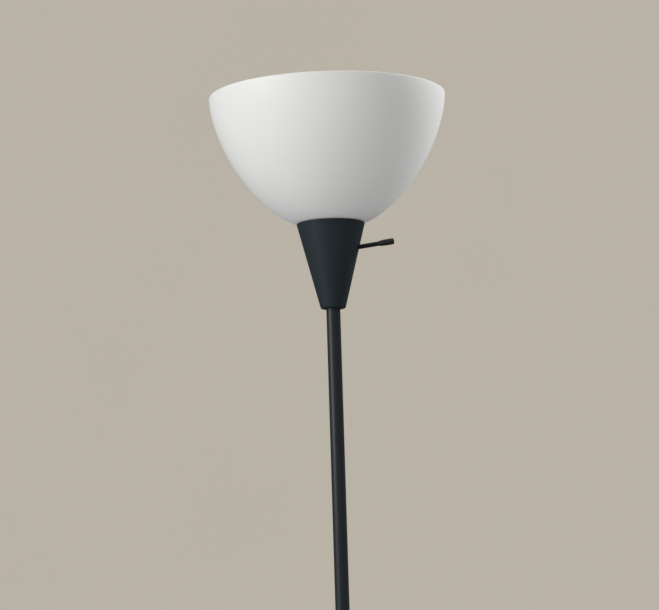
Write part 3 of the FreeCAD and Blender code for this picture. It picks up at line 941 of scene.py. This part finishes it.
cover = {
    "sheet": 0.001,
    "corner": 0.006,
    "domeRadius": 0.98,
    "seatRadius": 0.014,
    "studHole": 0.0053,
    "glandHole": 0.00405,
    "hem": 0.0002,
    "drill": (0.12, 0.15),  # how far out the gland's hole is cut
    "holeTurns": 48,
    "steps": 12,
    "turns": 256,
}

pad = {
    "hollow": 0.098,
    "rounding": 0.0006,
    "ripple": 0.00025,  # how unevenly the foam is skived round its edge
    "waves": ((1.0, 5, 0.4), (0.6, 13, 1.7), (0.4, 29, 0.0)),  # share, number round the edge, offset
    "turns": 256,
}

washer = {
    "bore": 0.0052,
    "boreRounding": 0.0002,
    "rimRounding": 0.0003,
    "crownRounding": 0.0004,
    "turns": 96,
}

gland = {
    "bore": 0.0031,
    "groove": 0.004,
    "flange": 0.0054,
    "wallInside": 0.0012,
    "wallOutside": 0.00005,
    "innerRounding": 0.0006,
    "outerRounding": 0.0011,
    "boreRounding": 0.0004,
    "grooveRounding": 0.0002,
    "turns": 64,
}


def domeLine(drop):
    # the cover's skin from the foot of its wall to the edge of its seat, or that far inside
    low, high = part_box("base_cover")
    sphere = cover["domeRadius"] - drop
    corner = cover["corner"] - drop
    radius = high.x - drop
    centre = high.z - cover["domeRadius"]
    bend = Vector((radius - corner, centre + math.sqrt((sphere - corner) ** 2 - (radius - corner) ** 2)))
    lean = math.asin(bend.x / (sphere - corner))
    line = [Vector((radius, low.z))]
    steps = cover["steps"]
    line += sweep(bend, Vector((corner, 0)), Vector((math.sin(lean), math.cos(lean))) * corner, steps)
    for k in range(1, steps + 1):
        out = bend.x + (cover["seatRadius"] - bend.x) * k / steps
        line.append(Vector((out, centre + math.sqrt(sphere ** 2 - out ** 2))))
    return line


def makeBase():
    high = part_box("base_cover")[1]
    sheet = cover["sheet"]
    inside = domeLine(sheet)
    hem = [inside[0] + Vector((cover["hem"], 0)), inside[0] + Vector((0, cover["hem"]))]
    hole = [Vector((cover["studHole"], high.z)), Vector((cover["studHole"], high.z - sheet))]
    outline = domeLine(0) + hole + list(reversed(inside[1:])) + list(reversed(hem))
    piece = lathe("baseCover", outline, cover["turns"])
    glandLow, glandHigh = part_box("cord_gland")
    glandFoot = Vector((0, 0, 0.5 * (glandLow.z + glandHigh.z)))
    toBack = Vector((0, 1, 0))
    start, end = cover["drill"]
    hole = [(0, start), (cover["glandHole"], start), (cover["glandHole"], end), (0, end)]
    cutAway(piece, lathe("glandHole", hole, cover["holeTurns"], glandFoot, toBack))
    finishPiece(piece, "base_cover", "black_satin")

    wallOut = high.x + gland["wallOutside"]
    wallIn = high.x - gland["wallInside"]
    flange = gland["flange"]
    rounding = gland["grooveRounding"]
    outline = softened([
        (gland["bore"], glandLow.y, gland["boreRounding"]), (flange, glandLow.y, gland["innerRounding"]),
        (flange, wallIn, rounding), (gland["groove"], wallIn),
        (gland["groove"], wallOut), (flange, wallOut, rounding),
        (flange, glandHigh.y, gland["outerRounding"]),
        (gland["bore"], glandHigh.y, gland["boreRounding"])])
    piece = lathe("cordGland", outline, gland["turns"], glandFoot, toBack)
    finishPiece(piece, "cord_gland", "black_rubber")

    padLow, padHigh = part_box("base_pad")
    hollow = pad["hollow"]
    rounding = pad["rounding"]
    outline = softened([(hollow, padLow.z, rounding), (padHigh.x, padLow.z, rounding),
                        (padHigh.x, padHigh.z, rounding), (hollow, padHigh.z, rounding)])

    def skived(radius, height, angle):
        wave = sum(share * math.sin(number * angle + offset) for share, number, offset in pad["waves"])
        return radius - pad["ripple"] * (1 + 0.5 * wave)

    piece = lathe("foamRing", outline, pad["turns"], swell=skived)
    finishPiece(piece, "base_pad", "foam_pad")

    washerLow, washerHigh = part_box("foot_washer")
    bore = washer["bore"]
    rounding = washer["boreRounding"]
    outline = softened([
        (bore, washerLow.z, rounding), (washerHigh.x, washerLow.z, washer["rimRounding"]),
        (washerHigh.x, washerHigh.z, washer["crownRounding"]), (bore, washerHigh.z, rounding)])
    piece = lathe("footWasher", outline, washer["turns"])
    finishPiece(piece, "foot_washer", "black_plastic")


makeBase()
print("base made")


# the bulb: frosted cover, ribbed heat sink and a screw cap with a true thread

bulb = {
    "coverWall": 0.0012,
    "coverRise": 0.012,  # from the cover's seam up to its widest point
    "coverSteps": (32, 24),  # along the cover's skin, outside and inside
    "spigotInside": 0.0102,  # the housing's foot, which stands in the cap
    "spigotOutside": 0.0116,
    "spigotTop": 0.0078,
    "spigotShelf": 0.0008,
    "waistRadius": 0.0139,
    "waistRise": 0.009,
    "flare": 0.25,  # how much of the housing's growth is left to its upper end
    "flarePower": 2.2,
    "flareSteps": 28,
    "fins": 36,
    "finDepth": 0.0004,
    "finSpan": (0.04, 0.9),
    "finFade": 8.0,
    "finSharp": 50,  # the angle past which the housing's corners stay crisp
    "seamWall": 0.0014,  # the housing's wall under the cover, then its ledge for the board
    "ledge": 0.0021,
    "hollowMiddle": (0.0182, 0.018),
    "hollowFoot": (0.0124, 0.0012),
    "capRadius": 0.01265,
    "capSheet": 0.0004,
    "capMouth": 0.0106,
    "capDepth": 0.00025,
    "capPitch": 0.0036,
    "threads": 5,
    "threadRings": 60,
    "threadStart": 0.0014,
    "threadFade": 0.0018,
    "capFlare": (0.0026, 0.0024),  # how far down its flared top starts, outside and inside
    "flareEdge": 0.0001,
    "coverTurns": 128,
    "housingTurns": 288,
    "capTurns": 96,
}


def makeBulb():
    low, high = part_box("bulb_globe")
    radius = high.x
    centre = Vector((0, high.z - radius))
    seam = Vector((math.sqrt(radius ** 2 - bulb["coverRise"] ** 2), low.z)) - centre
    inner = radius - bulb["coverWall"]
    innerSeam = Vector((math.sqrt(inner ** 2 - bulb["coverRise"] ** 2), low.z)) - centre
    outerSteps, innerSteps = bulb["coverSteps"]
    outside = sweep(centre, seam, Vector((0, radius)), outerSteps)
    inside = sweep(centre, Vector((0, inner)), innerSeam, innerSteps)
    piece = lathe("bulbCover", outside + inside, bulb["coverTurns"])
    finishPiece(piece, "bulb_globe", "bulb_diffuser", "bulb")

    low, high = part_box("bulb_housing")
    waist = low.z + bulb["waistRise"]
    finFoot, finHead = bulb["finSpan"]

    def finned(radius, height, angle):
        rise = (height - waist) / (high.z - waist)
        if radius < bulb["waistRadius"] or rise <= finFoot or rise >= finHead:
            return radius
        fade = min(1.0, bulb["finFade"] * (rise - finFoot), bulb["finFade"] * (finHead - rise))
        return radius - bulb["finDepth"] * fade * (0.5 - 0.5 * math.cos(bulb["fins"] * angle))

    spigot = bulb["spigotOutside"]
    outside = [Vector((bulb["spigotInside"], low.z)), Vector((spigot, low.z))]
    outside.append(Vector((spigot, low.z + bulb["spigotTop"])))
    for k in range(bulb["flareSteps"] + 1):
        rise = k / bulb["flareSteps"]
        growth = (1 - bulb["flare"]) * rise + bulb["flare"] * rise ** bulb["flarePower"]
        out = bulb["waistRadius"] + (high.x - bulb["waistRadius"]) * growth
        outside.append(Vector((out, waist + (high.z - waist) * rise)))
    seamWall = bulb["seamWall"]
    inside = [Vector((high.x - seamWall, high.z)), Vector((high.x - bulb["ledge"], high.z - seamWall))]
    inside += [Vector((out, waist + rise)) for out, rise in (bulb["hollowMiddle"], bulb["hollowFoot"])]
    shelf = low.z + bulb["spigotTop"] + bulb["spigotShelf"]
    inside.append(Vector((bulb["spigotInside"], shelf)))
    piece = lathe("bulbHousing", outside + inside, bulb["housingTurns"], swell=finned)
    finishPiece(piece, "bulb_housing", "bulb_housing", "bulb", bulb["finSharp"])

    low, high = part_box("bulb_cap")
    threadLow = low.z + bulb["threadStart"]
    threadHigh = threadLow + bulb["threads"] * bulb["capPitch"]

    def threaded(radius, height, angle):
        # the cap's sheet is rolled, so its inside follows its outside
        fade = min(height - threadLow, threadHigh - height) / bulb["threadFade"]
        turn = 2 * math.pi * height / bulb["capPitch"] - angle
        return radius + bulb["capDepth"] * min(1.0, max(0.0, fade)) * math.sin(turn)

    sheet = bulb["capSheet"]
    mean = bulb["capRadius"]
    mouth = bulb["capMouth"]
    edge = bulb["flareEdge"]
    flareOutside, flareInside = bulb["capFlare"]
    rings = bulb["threadRings"]
    levels = [threadLow + (threadHigh - threadLow) * k / rings for k in range(rings + 1)]
    flare = [(mean, high.z - flareOutside), (high.x, high.z, edge), (high.x - sheet, high.z, edge),
             (mean - sheet, high.z - flareInside)]
    outline = [Vector((mouth, low.z)), Vector((mouth + sheet, low.z))]
    outline += [Vector((mean, level)) for level in levels]
    outline += softened(flare, 3) + [Vector((mean - sheet, level)) for level in reversed(levels)]
    outline.append(Vector((mouth, low.z + sheet)))
    piece = lathe("bulbCap", outline, bulb["capTurns"], swell=threaded)
    finishPiece(piece, "bulb_cap", "nickel_cap", "bulb")


makeBulb()
print("bulb made")


# every CAD node that still shows as itself gets its finish in its own material slots

def dressNodes():
    slotOf = {part["node"]: part["material_slot"] for part in frame["record"]["subparts"]}
    for node, thing in cadNodes.items():
        if not thing.material_slots:
            thing.data.materials.append(None)
        for holder in thing.material_slots:
            holder.material = finishes[slotOf[node]]


dressNodes()
print("CAD nodes finished")


# the studio: a pale floor that sweeps up into a plain wall all round

def studioFinish():
    material, tree, shader = newFinish("studioPaint", {
        "Roughness": room["roughness"], "Specular IOR Level": room["shine"],
        "Emission Color": opaque(room["glow"]), "Emission Strength": 1.0})
    tone = useGroup(tree, "colourDrift", {
        "Color": opaque(room["colour"]), "Scale": room["driftScale"], "Amount": room["drift"]})
    feed(tree, shader.inputs["Base Color"], tone["Color"])
    # seen from behind or from underneath, the studio is clear
    behind = addNode(tree, "NewGeometry").outputs["Backfacing"]
    clear = addNode(tree, "BsdfTransparent").outputs["BSDF"]
    oneWay = addNode(tree, "MixShader", {0: behind, 1: shader.outputs["BSDF"], 2: clear})
    feed(tree, tree.nodes["Material Output"].inputs["Surface"], oneWay.outputs["Shader"])
    return material


def makeStudio():
    floor = cadLow.z - room["floorDrop"]
    reach = room["radius"] - room["sweep"]
    bend = Vector((reach, floor + room["sweep"]))
    line = [Vector((out, floor)) for out in room["floorRings"]]
    line += sweep(bend, Vector((0, -room["sweep"])), Vector((room["sweep"], 0)), room["sweepSteps"])
    line.append(Vector((room["radius"], room["height"])))
    studio = lathe("studio", line, room["turns"], closed=False)
    studio.data.flip_normals()  # its faces look inwards
    studio.data.shade_smooth()
    studio.data.materials.append(studioFinish())
    studio.visible_diffuse = False
    studio.visible_glossy = False
    studio.visible_transmission = False
    studio.visible_shadow = False


makeStudio()
print("studio made")
